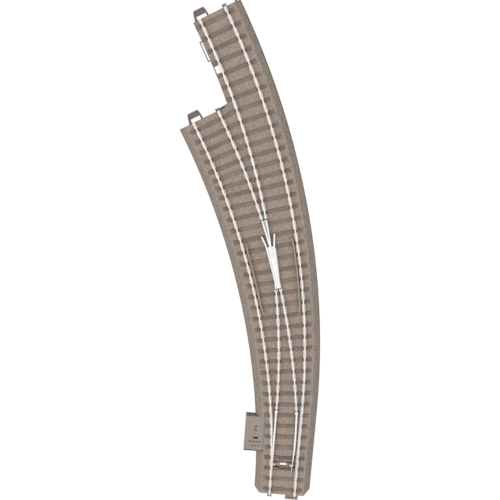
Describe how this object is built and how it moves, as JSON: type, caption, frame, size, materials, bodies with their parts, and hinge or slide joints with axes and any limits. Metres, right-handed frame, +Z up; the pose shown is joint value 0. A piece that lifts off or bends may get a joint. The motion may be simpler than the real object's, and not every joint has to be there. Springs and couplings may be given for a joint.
{
  "type": "curved model railway turnout",
  "caption": "Left-hand curved model railway turnout on a moulded ballast roadbed, with hinged switch blades, a cast crossing and a hand lever that throws them.",
  "frame": {"origin": "middle of the single-track end face, on the base plane", "axes": "+Y along the straight lead of the outer branch, away from the single-track end; +X to the right of it; +Z up"},
  "size_m": [0.1052, 0.3375, 0.0103],
  "materials": {
    "roadbed": "matt grey-brown moulded ballast with darker ties",
    "rail_metal": "bright solid nickel-silver rail, polished running surface",
    "frog_metal": "bright die-cast metal, satin",
    "guard_plastic": "matt grey-brown plastic",
    "insulator": "dark brown plastic",
    "bar_plastic": "dark grey-brown plastic, slightly polished by sliding",
    "mechanism_plastic": "dark brown plastic",
    "pin_metal": "bright turned steel",
    "spring_steel": "tempered spring steel",
    "screw_steel": "zinc-plated steel",
    "contact_metal": "tinned brass strip"
  },
  "bodies": {
    "track": {"roadbed": "roadbed", "stock_rail_left": "rail_metal", "stock_rail_right": "rail_metal", "closure_rail_left": "rail_metal", "closure_rail_right": "rail_metal", "branch_rail_inner": "rail_metal", "branch_rail_outer": "rail_metal", "insulating_joints": "insulator", "guard_rail_left": "guard_plastic", "guard_rail_right": "guard_plastic", "frog_casting": "frog_metal", "heel_pin_left": "pin_metal", "heel_pin_right": "pin_metal", "lever_bush": "guard_plastic", "detent_spring": "spring_steel", "mechanism_cover": "mechanism_plastic", "cover_screws": "screw_steel", "feeder_left_front": "contact_metal", "feeder_right_front": "contact_metal", "feeder_left_rear": "contact_metal", "feeder_right_rear": "contact_metal", "rail_joiner_toe": "contact_metal", "rail_joiner_inner": "contact_metal", "rail_joiner_outer": "contact_metal"},
    "left_blade": {"switch_blade_left": "rail_metal", "blade_pin_left": "pin_metal"},
    "right_blade": {"switch_blade_right": "rail_metal", "blade_pin_right": "pin_metal"},
    "throw_bar": {"throw_bar": "bar_plastic", "drive_slide": "mechanism_plastic"},
    "hand_lever": {"hand_lever": "mechanism_plastic"}
  },
  "joints": [
    {"name": "throw_bar_slide", "type": "slide", "parent": "track", "child": "throw_bar", "axis": [1, 0, 0], "range_m": [0, 0.00274], "deforming": ["detent_spring"]},
    {"name": "left_blade_hinge", "type": "hinge", "parent": "track", "child": "left_blade", "pos_m": [-0.00875, 0.0622, 0.009], "axis": [0, 0, 1], "range_deg": [0, 4]},
    {"name": "right_blade_hinge", "type": "hinge", "parent": "track", "child": "right_blade", "pos_m": [0.00504, 0.0622, 0.009], "axis": [0, 0, 1], "range_deg": [0, 4]},
    {"name": "lever_pivot", "type": "hinge", "parent": "track", "child": "hand_lever", "pos_m": [-0.0218, 0.0475, 0.004], "axis": [0, 0, 1], "range_deg": [0, 22.57]}
  ],
  "couplings": [
    {"joint": "left_blade_hinge", "follows": "throw_bar_slide", "rad_per_m": 25.479},
    {"joint": "right_blade_hinge", "follows": "throw_bar_slide", "rad_per_m": 25.479},
    {"joint": "lever_pivot", "follows": "throw_bar_slide", "rad_per_m": 143.78}
  ]
}
